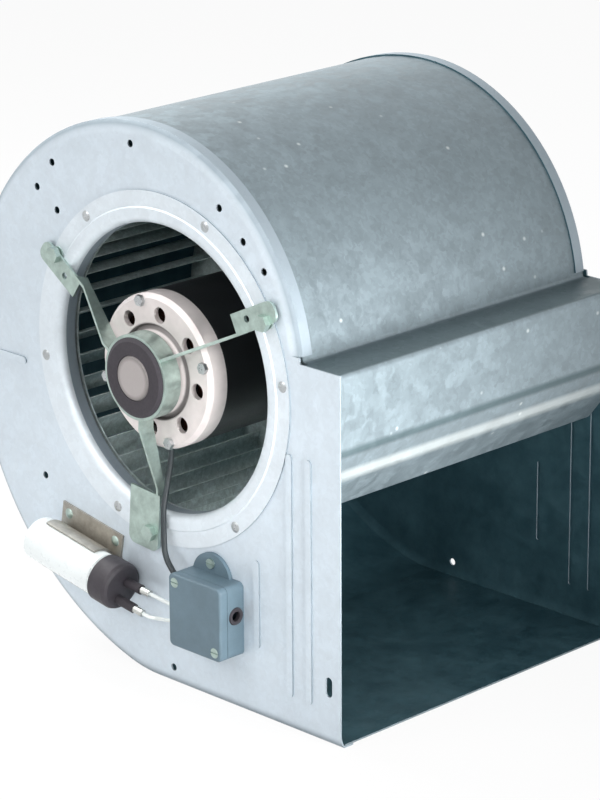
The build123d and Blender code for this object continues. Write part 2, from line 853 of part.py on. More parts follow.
def motor_arm(index, left, right, bolt_side, hole_side):
    """Arm standing on edge, with its foot bent flat onto the inlet ring.

    It is drawn along u and then turned. left and right are the foot's reach on each side
    of the standing blade, left being the way the wheel turns; bolt_side and hole_side
    count that way too.
    """
    start = sqrt(collar_r ** 2 - arm_offset ** 2) + fit_gap
    top = collar_front + arm_setback
    blade = Polyline(
        (start, top), (start + arm_root, top), (arm_bend_r - arm_bend_lead, foot_front),
        (arm_bend_r + arm_heel, foot_front),
        (arm_bend_r + arm_heel / 3, foot_front + 2 * arm_bend_lead),
        (start + arm_root, top + arm_depth), (start, top + arm_depth), close=True)
    standing = Plane(origin=(-half_width, 0, arm_offset), x_dir=(0, -1, 0), z_dir=(0, 0, 1))
    body = extrude(standing * make_face(blade.edges()), amount=arm_sheet)
    foot = Rectangle(arm_foot_end - arm_bend_r, left + right,
                     align=(Align.MIN, Align.MIN))
    foot = Pos(arm_bend_r, arm_offset - right) * foot
    foot = fillet([v for v in foot.vertices() if v.X > arm_foot_end - 1], arm_foot_round)
    foot -= Pos(arm_bolt_circle, arm_offset + bolt_side) * Circle(arm_bolt_r + bolt_play)
    if hole_side is not None:
        foot -= Pos(arm_hole_circle, arm_offset + hole_side) * Circle(arm_hole_r)
    body += plate(foot, drive(foot_front), arm_sheet)
    return turn_about_shaft(body, arm_angle + 120 * index)


def arm_bolt_places():
    """(u, w) of the bolts through the arms' feet."""
    places = []
    for _, index, _, _, bolt_side, _ in arms:
        side = arm_offset + bolt_side
        angle = arm_angle + 120 * index + degrees(atan2(side, arm_bolt_circle))
        places.append(polar(hypot(arm_bolt_circle, side), angle))
    return places


def arm_fasteners():
    """Bolts, nuts and the washers between the feet and the inlet ring's flange."""
    bolts, nuts, washers = [], [], []
    under_head = drive(foot_front)
    inner_face = drive(sheet)
    for u, w in arm_bolt_places():
        bolt = bar(u, w, arm_bolt_r, under_head, inner_face + nut_height + 1.5)
        bolts.append(bolt + plate(hexagon(u, w, hex_across), under_head - hex_height,
                                  hex_height))
        nut = plate(hexagon(u, w, hex_across), inner_face, nut_height)
        nuts.append(nut - bar(u, w, arm_bolt_r + hub_play, inner_face - 1,
                              inner_face + nut_height + 1))
        washer = bar(u, w, hex_across / 2, under_head + arm_sheet,
                     under_head + arm_sheet + ring_raise)
        washers.append(washer - bar(u, w, arm_bolt_r + bolt_play, under_head, inner_face))
    return bolts, nuts, washers


def can_frame(along=0.0, across=0.0):
    """Plane whose Z runs along the capacitor to its boot, at a place on its axis.

    Its X points away from the side plate. along is counted back from the boot's end.
    """
    u = can_end_u - along * cos(radians(can_angle)) - across * sin(radians(can_angle))
    w = can_end_w - along * sin(radians(can_angle)) + across * cos(radians(can_angle))
    way = (0, -cos(radians(can_angle)), sin(radians(can_angle)))
    return Plane(origin=(drive(can_depth), -u, w), x_dir=(-1, 0, 0), z_dir=way)


def lathe(points):
    """Solid of revolution about Z from (radius, height) points."""
    return revolve(make_face((Plane.XZ * Polyline(*points, close=True)).edges()), Axis.Z)


def capacitor_can():
    """Moulded can with a rounded foot and a bead under the boot."""
    end = can_length
    neck = end - boot_overlap - 2 * can_bead
    can = lathe([
        (0, 0), (can_r - can_foot_round, 0), (can_r - can_foot_edge, can_foot_edge),
        (can_r, can_foot_round), (can_r, neck - can_bead), (can_r - can_bead_depth, neck),
        (can_r, neck + can_bead), (can_r, end), (0, end),
    ])
    return can_frame(boot_length - boot_overlap + can_length) * can


def capacitor_boot():
    """Terminal boot over the can's end, with the two sleeves' holes."""
    cavity_r = can_r + fit_gap
    boot = lathe([
        (0, boot_overlap + fit_gap), (cavity_r, boot_overlap + fit_gap), (cavity_r, 0),
        (boot_r, 0), (boot_r, boot_length - boot_round),
        (boot_r - boot_edge, boot_length - boot_edge), (boot_r - boot_round, boot_length),
        (0, boot_length),
    ])
    boot = can_frame(boot_length) * boot
    for sleeve, _, _ in capacitor_routes():
        boot -= round_lead(sleeve, [], sleeve_r + lead_play)
    return boot


def clip_rivet_places():
    """(u, w) of the rivets through the clip's foot."""
    places = []
    for side in (1, -1):
        along = clip_middle + side * (clip_foot_length / 2 - clip_rivet_inset)
        spot = can_frame(along, clip_foot - clip_rivet_inset).origin
        places.append((-spot.Y, spot.Z))
    return places


def capacitor_clip():
    """Spring clip: open ring round the can, on a foot that lies on the side plate."""
    inner = can_r + clip_play
    outer = inner + clip_sheet
    open_half = (360 - clip_wrap_angle) / 2
    ring = Circle(outer) - Circle(inner)
    side_u, side_w = polar(3 * outer, open_half)
    mouth = Polyline((0, 0), (side_u, side_w), (3 * outer, side_w), (3 * outer, -side_w),
                     (side_u, -side_w), close=True)
    ring -= make_face(mouth.edges())
    back = clip_middle + clip_length / 2
    clip = extrude(can_frame(back) * ring, amount=clip_length)
    foot = Pos(can_depth + clip_sheet / 2, 0) * Rectangle(
        clip_sheet, clip_foot, align=(Align.CENTER, Align.MAX))
    foot_back = clip_middle + clip_foot_length / 2
    clip += extrude(can_frame(foot_back) * foot, amount=clip_foot_length)
    for u, w in clip_rivet_places():
        clip -= bar(u, w, rivet_r + rivet_play, drive(-2 * clip_sheet), drive(sheet))
    return clip


def box_area(inset=0.0):
    """(u, w) outline of the terminal box, moved inwards."""
    width = box_right - box_left - 2 * inset
    height = box_top - box_bottom - 2 * inset
    middle = ((box_left + box_right) / 2, (box_top + box_bottom) / 2)
    return Pos(*middle) * RectangleRounded(width, height, box_corner - inset / 2)


def lid_screw_places():
    """(u, w) of the lid's screws, in opposite corners."""
    inset = lid_screw_inset
    return [(box_left + inset, box_top - inset), (box_right - inset, box_bottom + inset)]


def ear_place():
    """(u, w) of the screw in the box's ear."""
    return (box_left + box_right) / 2 + ear_shift, box_top + ear_rise - ear_screw_drop


def box_base():
    """Terminal box base: open tray with screw posts, an ear and its cable holes."""
    front = -(box_depth - box_lid)
    body = plate(box_area(), drive(front), -front)
    body -= plate(box_area(box_wall), drive(front), -front - box_wall)
    for u, w in lid_screw_places():
        body += bar(u, w, lid_post_r, drive(front), drive(-box_wall / 2))
        body -= bar(u, w, lid_screw_r + thread_play, drive(front),
                    drive(front + lid_post_bore))
    u, w = ear_place()
    ear = Pos(u, box_top + ear_rise - ear_r) * Circle(ear_r) - box_area(0.5)
    ear -= Pos(u, w) * Circle(lid_screw_r + fit_gap)
    body += plate(ear, drive(-ear_thickness), ear_thickness)
    body -= grommet_frame() * Cylinder(grommet_r, 3 * box_wall)
    for route, radius in lead_ends():
        body -= round_lead(route[-2:], [], radius + lead_play)
    return body


def box_cover():
    """Lid of the terminal box."""
    front, back = -box_depth, -(box_depth - box_lid) - lid_gap
    body = plate(box_area(), drive(front), back - front)
    body = fillet(body.faces().sort_by(Axis.X)[0].edges(), lid_round)
    body -= plate(box_area(box_wall), drive(front + box_wall), back - front)
    for u, w in lid_screw_places():
        body += bar(u, w, lid_post_r, drive(front + box_wall / 2), drive(back))
        body -= bar(u, w, lid_screw_r + fit_gap, drive(front) - 1, drive(back) + 1)
        body -= bar(u, w, 2 * lid_screw_r + fit_gap, drive(front) - 1,
                    drive(front + screw_head_height))
    return body


def screw(u, w, seat_depth, length):
    """Pan-head screw driven along +X from its seat, with a slot."""
    head_r = 2 * lid_screw_r
    body = bar(u, w, lid_screw_r, drive(seat_depth), drive(seat_depth + length))
    top = seat_depth - screw_head_height
    body += bar(u, w, head_r, drive(top), drive(seat_depth))
    slot = Pos(u, w) * Rectangle(3 * head_r, screw_head_height / 2)
    return body - plate(slot, drive(top - 1), 1 + screw_head_height / 2)


def grommet_frame():
    """Plane in the box's right wall whose Z points out of the box."""
    return Plane(origin=(drive(grommet_x), -box_right + box_wall / 2, grommet_w),
                 x_dir=(-1, 0, 0), z_dir=(0, -1, 0))


def grommet():
    """Rubber grommet in the box's right wall."""
    half = box_wall / 2
    neck = grommet_r - fit_gap / 2
    return grommet_frame() * lathe([
        (grommet_bore_r, -half), (neck, -half), (neck, half),
        (grommet_r + grommet_rim, half),
        (grommet_r + grommet_rim - grommet_round, half + grommet_flange),
        (grommet_bore_r + grommet_mouth, half + grommet_flange),
        (grommet_bore_r, half + grommet_round),
    ])


def place(u, w, depth):
    """Point in the fan frame."""
    return Vector(drive(depth), -u, w)


def motor_lead_route():
    """(u, w, depth) of the motor's lead, from the end shield's skirt into the box."""
    skirt = motor_r - shield_skirt / 2
    over_ring = -ring_sheet - ring_raise - motor_lead_r - lead_clearance
    skirt_depth = motor_front + shield_length - shield_length / 3
    return [(3, -skirt, skirt_depth), (3, -skirt - 14, skirt_depth),
            (3.5, 20 - throat_radius, 0.5),
            (4.5, 2 - throat_radius, over_ring), (5, 8.5 - ring_flange_r, over_ring - 0.2),
            (7.5, -6.5 - ring_flange_r, over_ring - 2.0),
            (box_left - 7, box_top - 10, over_ring - 3.0),
            (box_left + box_wall + lead_tail, box_top - 15, over_ring - 3.4)]


def capacitor_routes():
    """(u, w, depth) of each sleeve, connector and lead that follow each other in line.

    Each comes from a start inside the boot, a direction, the lead's corner after its
    straight part and the lead's end inside the box.
    """
    start_u = can_end_u - 6
    wall_u = box_left + box_wall + lead_tail
    wires = [
        ((start_u, can_end_w + 2.9, can_depth + 4.3), (1, -0.12, 0.05),
         (box_left - 8, can_end_w - 3.5, -10.5), (wall_u, box_top - 29, -9.5)),
        ((start_u, can_end_w - 7.6, can_depth - 2.7), (1, -0.18, 0.05),
         (box_left - 8, can_end_w - 14.5, -11.5), (wall_u, box_top - 38, -9.5)),
    ]
    routes = []
    for (u, w, depth), (du, dw, dd), corner, end in wires:
        line = [(u + s * du, w + s * dw, depth + s * dd)
                for s in (0, sleeve_length, sleeve_length + connector_length,
                          sleeve_length + connector_length + lead_straight)]
        routes.append((line[:2], line[1:3], [line[2], line[3], corner, end]))
    return routes


def corner_radii(points):
    """Bend radii of a lead, each as large as its two runs allow."""
    radii = []
    for a, b, c in zip(points, points[1:], points[2:]):
        before, after = place(*b) - place(*a), place(*c) - place(*b)
        turn = radians(before.get_angle(after))
        shorter = min(before.length, after.length)
        radii.append(0.45 * shorter / tan(turn / 2))
    return radii


def round_lead(points, radii, radius):
    """Round lead along straight runs joined by arcs."""
    corners = [place(*p) for p in points]
    path = Line(*corners) if len(corners) == 2 else FilletPolyline(*corners, radius=radii)
    start = Plane(origin=path @ 0, z_dir=path % 0)
    body = sweep(start * Circle(radius), path=path)
    expected = pi * radius ** 2 * path.length
    assert abs(body.volume / expected - 1) < 0.01, (body.volume, expected)
    return body


def motor_lead():
    """Sheathed lead from the motor to the terminal box."""
    route = motor_lead_route()
    radii = corner_radii(route)
    print("motor lead bend radii", [round(r, 1) for r in radii])
    return round_lead(route, radii, motor_lead_r)


def capacitor_wiring():
    """Sleeves from the boot, connectors after them and leads into the box."""
    sleeves, connectors, leads = [], [], []
    for sleeve, connector, lead in capacitor_routes():
        sleeves.append(round_lead(sleeve, [], sleeve_r))
        connectors.append(round_lead(connector, [], connector_r))
        radii = corner_radii(lead)
        print("capacitor lead bend radii", [round(r, 1) for r in radii])
        leads.append(round_lead(lead, radii, capacitor_lead_r))
    return sleeves, connectors, leads


def lead_ends():
    """Routes that enter the box, with their radii."""
    ends = [(motor_lead_route(), motor_lead_r)]
    return ends + [(lead, capacitor_lead_r) for _, _, lead in capacitor_routes()]


def mounted_side_plate():
    """Drive side plate with the holes for what only that side carries."""
    body = side_plate()
    for u, w in arm_bolt_places():
        body -= bar(u, w, arm_bolt_r + bolt_play, drive(-1), drive(2 * sheet))
    for u, w in clip_rivet_places():
        body -= bar(u, w, rivet_r + rivet_play, drive(-1), drive(2 * sheet))
    u, w = ear_place()
    return body - bar(u, w, lid_screw_r + thread_play, drive(-1), drive(2 * sheet))


def mounted_inlet_ring():
    """Drive side inlet ring with the arms' bolt holes."""
    body = inlet_ring()
    for u, w in arm_bolt_places():
        body -= bar(u, w, arm_bolt_r + bolt_play, drive(-4), drive(1))
    return body


def far_side(shape):
    """The same piece on the other side of the wheel's centre disc."""
    return mirror(shape, about=Plane.YZ)


def group(solids):
    """Several separate solids in one node."""
    return Compound(children=list(solids))


def build():
    """Every piece by name, in the fan frame."""
    bolts, nuts, washers = arm_fasteners()
    motor_screws, motor_nuts = motor_bolts()
    sleeves, connectors, leads = capacitor_wiring()
    blades = blade_row()
    rivets = ring_rivets()
    ring, row_end = inlet_ring(), end_ring()
    ear_u, ear_w = ear_place()
    pieces = {
        "scroll_wrap": scroll_wrap(),
        "cutoff_plate": cutoff_plate(),
        "side_plate_drive": mounted_side_plate(),
        "side_plate_far": far_side(side_plate()),
        "inlet_ring_drive": mounted_inlet_ring(),
        "inlet_ring_far": far_side(ring),
        "ring_rivets_drive": group(rivets),
        "ring_rivets_far": group(far_side(rivet) for rivet in rivets),
        "wheel_centre_disc": centre_disc(),
        "wheel_blades_drive": group(blades),
        "wheel_blades_far": group(far_side(blade) for blade in blades),
        "wheel_end_ring_drive": row_end,
        "wheel_end_ring_far": far_side(row_end),
        "wheel_hub": wheel_hub(),
        "hub_rivets": group(hub_rivets()),
        "hub_set_screw": set_screw(),
        "motor_shaft": shaft(),
        "motor_rotor": rotor(),
        "thrust_washers": group(thrust_washers()),
        "motor_stator": stator(),
        "motor_windings": group(windings()),
        "motor_end_shield_front": end_shield_front(),
        "motor_end_shield_back": end_shield_back(),
        "motor_sleeve_bearings": group(bushes()),
        "motor_through_bolts": group(motor_screws),
        "motor_through_nuts": group(motor_nuts),
        "mount_rubber_ring": rubber_ring(),
        "mount_collar": collar(),
        "arm_bolts": group(bolts),
        "arm_nuts": group(nuts),
        "arm_washers": group(washers),
        "capacitor_can": capacitor_can(),
        "capacitor_boot": capacitor_boot(),
        "capacitor_clip": capacitor_clip(),
        "clip_rivets": group(blind_rivet(u, w, drive(-clip_sheet), drive(sheet))
                             for u, w in clip_rivet_places()),
        "capacitor_sleeves": group(sleeves),
        "capacitor_connectors": group(connectors),
        "capacitor_leads": group(leads),
        "motor_lead": motor_lead(),
        "terminal_box_base": box_base(),
        "terminal_box_lid": box_cover(),
        "terminal_box_lid_screws": group(
            screw(u, w, screw_head_height - box_depth, box_lid + screw_bite)
            for u, w in lid_screw_places()),
        "terminal_box_ear_screw": screw(ear_u, ear_w, -ear_thickness,
                                        ear_thickness + screw_bite),
        "terminal_box_grommet": grommet(),
    }
    for name, *shape in arms:
        pieces[f"motor_arm_{name}"] = motor_arm(*shape)
    return pieces


def to_row_frame(pieces):
    """Moves every piece so that the origin is under the box's middle, on the ground."""
    box = Compound(children=[copy.copy(piece) for piece in pieces.values()]).bounding_box()
    shift = Vector(-(box.min.X + box.max.X) / 2, -(box.min.Y + box.max.Y) / 2, base_drop)
    print("fan frame's origin in the row", shift.X, shift.Y, shift.Z)
    print("overall size", box.size.X, box.size.Y, box.size.Z)
    return {name: Pos(*shift) * piece for name, piece in pieces.items()}


os.makedirs("parts", exist_ok=True)
for name, piece in to_row_frame(build()).items():
    export_step(piece, f"parts/{name}.step")
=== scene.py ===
"""Looks of a double-inlet centrifugal blower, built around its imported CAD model."""

from math import cos, radians, sin

import bpy
import numpy as np
from mathutils import Matrix, Vector


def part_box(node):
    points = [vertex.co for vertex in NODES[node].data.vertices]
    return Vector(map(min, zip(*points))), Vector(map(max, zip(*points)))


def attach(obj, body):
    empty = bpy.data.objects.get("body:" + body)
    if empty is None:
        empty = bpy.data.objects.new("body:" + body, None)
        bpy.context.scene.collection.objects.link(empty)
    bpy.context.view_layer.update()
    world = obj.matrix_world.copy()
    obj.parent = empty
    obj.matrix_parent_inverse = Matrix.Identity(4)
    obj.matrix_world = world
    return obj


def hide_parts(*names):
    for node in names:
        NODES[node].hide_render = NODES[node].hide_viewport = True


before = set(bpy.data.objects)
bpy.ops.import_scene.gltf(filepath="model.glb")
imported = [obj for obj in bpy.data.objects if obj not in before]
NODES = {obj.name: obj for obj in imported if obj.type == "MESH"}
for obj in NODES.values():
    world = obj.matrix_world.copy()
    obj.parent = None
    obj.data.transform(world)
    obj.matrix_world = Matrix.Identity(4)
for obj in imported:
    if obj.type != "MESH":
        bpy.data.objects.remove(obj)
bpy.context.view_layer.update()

bl_info = {
    "name": "Centrifugal blower",
    "version": (1, 0, 0),
    "blender": (4, 5, 0),
    "location": "View3D > Sidebar > Blower",
    "description": "Finishes and details of a sheet metal centrifugal blower",
    "category": "Object",
}

MM = 0.001
# The shaft's axis, from the stator's box, and the drive side plate's outer face, which the
# wrap's front part stands a sheet and a seam behind, in millimetres
WRAP_SETBACK = 1.3
STATOR_LOW, STATOR_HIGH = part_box("motor_stator")
WRAP_LOW, WRAP_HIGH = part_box("scroll_wrap")
SHAFT_Y = (STATOR_LOW.y + STATOR_HIGH.y) / 2
SHAFT_Z = (STATOR_LOW.z + STATOR_HIGH.z) / 2
DRIVE_FACE = WRAP_LOW.x - WRAP_SETBACK * MM

# Camera: its turns in degrees, its place in millimetres across, up and back from where the
# shaft's axis meets the drive side plate's outer face, and its lens and picture height
CAMERA_YAW, CAMERA_RISE, CAMERA_ROLL = -44.84, 18.32, -0.34
CAMERA_OFFSET = (92.67, -19.97, 2349.4)
CAMERA_LENS, SENSOR = 158.48, 36.0

# Lamps: place and aim in millimetres to the outlet, up and into the housing, the square's
# side in metres and the beam's spread in degrees
LAMP_AIM = (0, -20, 140)
LAMPS = (
    ("key_lamp", (-250, 1150, -1350), LAMP_AIM, 1.2, 180),
    ("fill_lamp", (600, -20, 0), (145, -10, 0), 0.3, 75),
    ("top_lamp", (-900, 1100, 150), LAMP_AIM, 0.8, 180),
    ("inlet_lamp", (420, 330, -650), (20, -60, 20), 0.25, 20),
)

# Outlet's top, in millimetres from the shaft: the shelf's height, the seam under the front
# panel, the cut-off plate's ridge below it and how far out this front part starts
SHELF_W, SEAM_W, RIDGE_W, FRONT_START = 33.0, -19.0, -41.0, 135.0
# End shield's groove and boss: their radii in millimetres
GROOVE_R, BOSS_R = 32.0, 15.5
# Painted shade over a plate's rounded rim and on the faces inside the housing, painted shade on
# the shelf's flat and in the seam, and a pale zinc for the painted highlight on the ridge and
# for bright specks
RIM_PAINTED_SHADE, INSIDE_SHADE_DARK, INSIDE_SHADE_LIGHT = "#8F9BA3", "#33535D", "#4A6C76"
STEP_AND_SEAM_SHADE, RIDGE_HIGHLIGHT_AND_SPECKS = "#3E5054", "#E2E8E6"
# Share of the sheet's look that is bare metal under its oxide
ZINC_METALLIC = 0.4


def spot(u, w, depth):
    """Point in metres from millimetres: u to the outlet, w up, depth into the housing."""
    return Vector((DRIVE_FACE + depth * MM, SHAFT_Y - u * MM, SHAFT_Z + w * MM))


def linear(code):
    """Linear RGBA of an sRGB hex colour."""
    values = [int(code[i:i + 2], 16) / 255 for i in (1, 3, 5)]
    return [v / 12.92 if v <= 0.04045 else ((v + 0.055) / 1.055) ** 2.4 for v in values] + [1]


def shade(colour, share):
    """Colour made darker or lighter to a share of its light."""
    return [min(1.0, v * share) for v in colour[:3]] + [1.0]


def add_node(tree, kind, *feeds, stops=(), **settings):
    """Adds a shader node.

    feeds go to its sockets in order and settings to what they name: a socket, with _ for a
    space or s6 for the one numbered 6, or else a property. A socket that is given is linked
    and a plain value is set. stops are a colour ramp's places and linear colours.
    """
    node = tree.nodes.new("ShaderNode" + kind)
    targets = list(enumerate(feeds))
    for key, value in settings.items():
        if key[0] == "s" and key[1:].isdigit():
            targets.append((int(key[1:]), value))
        elif key.replace("_", " ") in node.inputs:
            targets.append((key.replace("_", " "), value))
        else:
            setattr(node, key, value)
    for key, value in targets:
        if isinstance(value, bpy.types.NodeSocket):
            tree.links.new(value, node.inputs[key])
        else:
            node.inputs[key].default_value = value
    for _ in stops[2:]:
        node.color_ramp.elements.new(0.5)
    for number, (where, code) in enumerate(stops):
        node.color_ramp.elements[number].position = where
        node.color_ramp.elements[number].color = code
    return node


def new_material(name):
    """Empty node material with its Principled shader, output and place coordinates."""
    material = bpy.data.materials.new(name)
    material.use_nodes = True
    tree = material.node_tree
    tree.nodes.clear()
    shader = add_node(tree, "BsdfPrincipled")
    add_node(tree, "OutputMaterial", Surface=shader.outputs[0])
    place = add_node(tree, "TexCoord").outputs["Object"]
    return material, tree, shader, place


def assign(material, *nodes):
    """Gives every slot of the named CAD nodes one material."""
    for name in nodes:
        for holder in NODES[name].material_slots:
            holder.material = material


def shaft_radius(tree, place):
    """Distance of the place from the shaft's axis, in metres, and its direction."""
    flat = add_node(tree, "VectorMath", place, (0, 1, 1), (0, -SHAFT_Y, -SHAFT_Z),
                    operation="MULTIPLY_ADD").outputs[0]
    reach = add_node(tree, "VectorMath", flat, operation="LENGTH").outputs["Value"]
    way = add_node(tree, "VectorMath", flat, operation="NORMALIZE").outputs[0]
    return reach, way


def band(tree, value, low, high, soft):
    """1 from low to high, falling to 0 over the soft width on both sides."""
    rise = add_node(tree, "MapRange", value, low - soft, low).outputs[0]
    fall = add_node(tree, "MapRange", value, high + soft, high).outputs[0]
    return add_node(tree, "Math", rise, fall, operation="MULTIPLY").outputs[0]


def clouded(tree, place, cloud_mm, unevenness, dark, light):
    """Colour that wanders from dark to light in clouds of a real size, and the clouds."""
    noise = add_node(tree, "TexNoise", place, Scale=1 / (cloud_mm * MM), Detail=4.0,
                     Roughness=unevenness).outputs[0]
    clouds = add_node(tree, "MapRange", noise, 0.35, 0.7).outputs[0]
    colours = add_node(tree, "ValToRGB", clouds, stops=((0.0, dark), (1.0, light)))
    return colours.outputs[0], clouds


def grained(tree, shader, grain, smooth, coarse, depth_mm, strength):
    """Takes the shader's roughness and a bump of a real depth from one grain."""
    rough = add_node(tree, "MapRange", grain, 0.3, 0.7, smooth, coarse)
    tree.links.new(rough.outputs[0], shader.inputs["Roughness"])
    relief = add_node(tree, "Bump", Strength=strength, Distance=depth_mm * MM, Height=grain)
    tree.links.new(relief.outputs[0], shader.inputs["Normal"])


def spangled(tree, place, spangle_mm, base, contrast):
    """Colour and cell tone of zinc crystals: warped cells in two sizes under faint clouds."""
    warps_per_cell, warp_reach, small_per_cell, cloud_mm = 1.6, 0.9, 2.7, 45.0
    warp = add_node(tree, "TexNoise", place, Scale=warps_per_cell / (spangle_mm * MM),
                    Detail=3.0).outputs["Color"]
    bent = add_node(tree, "VectorMath", warp, [spangle_mm * MM * warp_reach] * 3, place,
                    operation="MULTIPLY_ADD").outputs[0]
    cells = add_node(tree, "TexVoronoi", bent, Scale=1 / (spangle_mm * MM))
    small = add_node(tree, "TexVoronoi", bent, Scale=small_per_cell / (spangle_mm * MM))
    cell_tone = add_node(tree, "SeparateColor", cells.outputs["Color"]).outputs[0]
    small_tone = add_node(tree, "SeparateColor", small.outputs["Color"]).outputs[1]
    cloud = add_node(tree, "TexNoise", place, Scale=1 / (cloud_mm * MM), Detail=6.0,
                     Roughness=0.7).outputs[0]
    half = add_node(tree, "Math", small_tone, 0.5, operation="MULTIPLY").outputs[0]
    both = add_node(tree, "Math", cell_tone, 0.5, half, operation="MULTIPLY_ADD").outputs[0]
    leaf = add_node(tree, "Math", both, 0.55, operation="MULTIPLY").outputs[0]
    tone = add_node(tree, "Math", cloud, 0.9, leaf, operation="MULTIPLY_ADD").outputs[0]
    zinc = add_node(tree, "ValToRGB", tone, stops=(
        (0.35, shade(base, 1 - contrast)), (0.72, base), (1.0, shade(base, 1 + contrast))))
    return zinc.outputs[0], cell_tone


def inward_share(tree, place, kind):
    """1 on faces that look into the housing.

    On the scroll these look towards the shaft, on a side plate towards the other plate.
    """
    normal = add_node(tree, "TexCoord").outputs["Normal"]
    if kind == "scroll":
        way = shaft_radius(tree, place)[1]
        inward = add_node(tree, "VectorMath", normal, way,
                          operation="DOT_PRODUCT").outputs["Value"]
    else:
        middle = (WRAP_LOW.x + WRAP_HIGH.x) / 2
        across = add_node(tree, "SeparateXYZ", place).outputs[0]
        offset = add_node(tree, "Math", across, middle, operation="SUBTRACT").outputs[0]
        side = add_node(tree, "Math", offset, operation="SIGN").outputs[0]
        facing = add_node(tree, "SeparateXYZ", normal).outputs[0]
        inward = add_node(tree, "Math", side, facing, operation="MULTIPLY").outputs[0]
    return add_node(tree, "MapRange", inward, -0.1, -0.5).outputs[0]


def galvanised(name, base, spangle_mm, contrast, roughness, inner, rim=(0.1, 0.0)):
    """Hot-dip galvanised sheet: zinc frozen in leafy crystals (spangle) on cold rolled steel.

    Each crystal turns the light its own way, so cells of slightly different grey lie side by
    side; oxide leaves faint clouds and rolling leaves fine streaks. Faces that look into the
    housing are painted dark in soft clouds as shade: inner is scroll or plate, or None for none
    of this painted shade. On a plate, faces that turn away from the shaft's direction are
    painted darker as shade over the rounded rim: rim says how squarely a face looks along the
    shaft where the tone is still whole, and where it is all shaded. On the scroll, inner also
    adds bright specks and the painted light of the outlet's top.
    """
    # Rolling streaks are a few tenths of a millimetre wide, too fine to show, so they are drawn
    # 1.4 mm wide. The sheet's slack waves have their real size, and the painted shade inside
    # the housing lies in clouds of about 30 mm.
    grain_mm, grain_depth, wave_mm, wave_depth, inside_shade_mm = 1.4, 0.02, 45.0, 0.3, 30.0
    material, tree, shader, place = new_material(name)
    tone, cell_tone = spangled(tree, place, spangle_mm, base, contrast)
    if inner == "plate":
        # Painted shade: faces turned away from the shaft's direction, over the rounded rim,
        # take the darker rim tone.
        normal = add_node(tree, "TexCoord").outputs["Normal"]
        along = add_node(tree, "SeparateXYZ", normal).outputs[0]
        flat = add_node(tree, "Math", along, operation="ABSOLUTE").outputs[0]
        line_place_and_rim_shade = add_node(tree, "MapRange", flat, *rim).outputs[0]
        tone = add_node(tree, "Mix", line_place_and_rim_shade, data_type="RGBA", s6=tone,
                        s7=linear(RIM_PAINTED_SHADE)).outputs[2]
    if inner == "scroll":
        # Bright specks, then painted shade and a painted highlight on the outlet's top.
        tone = add_node(tree, "Mix", bright_specks(tree, place), data_type="RGBA", s6=tone,
                        s7=linear(RIDGE_HIGHLIGHT_AND_SPECKS)).outputs[2]
        tone = front_painted_light(tree, place, tone)
    if inner:
        # Painted shade: faces that look into the housing take a dark clouded tone.
        inside_clouds = add_node(tree, "TexNoise", place, Scale=1 / (inside_shade_mm * MM), Detail=5.0,
                        Roughness=0.65).outputs[0]
        inside_shade = add_node(tree, "ValToRGB", inside_clouds, stops=(
            (0.35, linear(INSIDE_SHADE_DARK)), (0.7, linear(INSIDE_SHADE_LIGHT)))).outputs[0]
        tone = add_node(tree, "Mix", inward_share(tree, place, inner), data_type="RGBA",
                        s6=tone, s7=inside_shade).outputs[2]
    tree.links.new(tone, shader.inputs["Base Color"])
    shader.inputs["Metallic"].default_value = ZINC_METALLIC
    rolled = add_node(tree, "Mapping", place, Scale=(1, 1, 0.25)).outputs[0]
    grain = add_node(tree, "TexNoise", rolled, Scale=1 / (grain_mm * MM), Detail=4.0,
                     Roughness=0.7).outputs[0]
    rough = add_node(tree, "Math", cell_tone, 0.18, roughness - 0.1,
                     operation="MULTIPLY_ADD").outputs[0]
    fine = add_node(tree, "Math", grain, 0.12, rough, operation="MULTIPLY_ADD").outputs[0]
    tree.links.new(fine, shader.inputs["Roughness"])
    slack = add_node(tree, "TexNoise", place, Scale=1 / (wave_mm * MM),
                     Detail=2.0).outputs[0]
    waves = add_node(tree, "Bump", Strength=0.5, Distance=wave_depth * MM,
                     Height=slack).outputs[0]
    streaks = add_node(tree, "Bump", Strength=0.5, Distance=grain_depth * MM, Height=grain,
                       Normal=waves).outputs[0]
    tree.links.new(streaks, shader.inputs["Normal"])
    return material


def bright_specks(tree, place):
    """Share of bright zinc in sparse, small round specks."""
    # Each 24 mm cell holds one round speck that fades out 1.9 mm from its middle, so that a few
    # of them show.
    gap, reach, brightest = 24.0, 1.9, 0.6
    cells = add_node(tree, "TexVoronoi", place, Scale=1 / (gap * MM)).outputs["Distance"]
    return add_node(tree, "MapRange", cells, reach / gap, 0.0, 0.0, brightest).outputs[0]


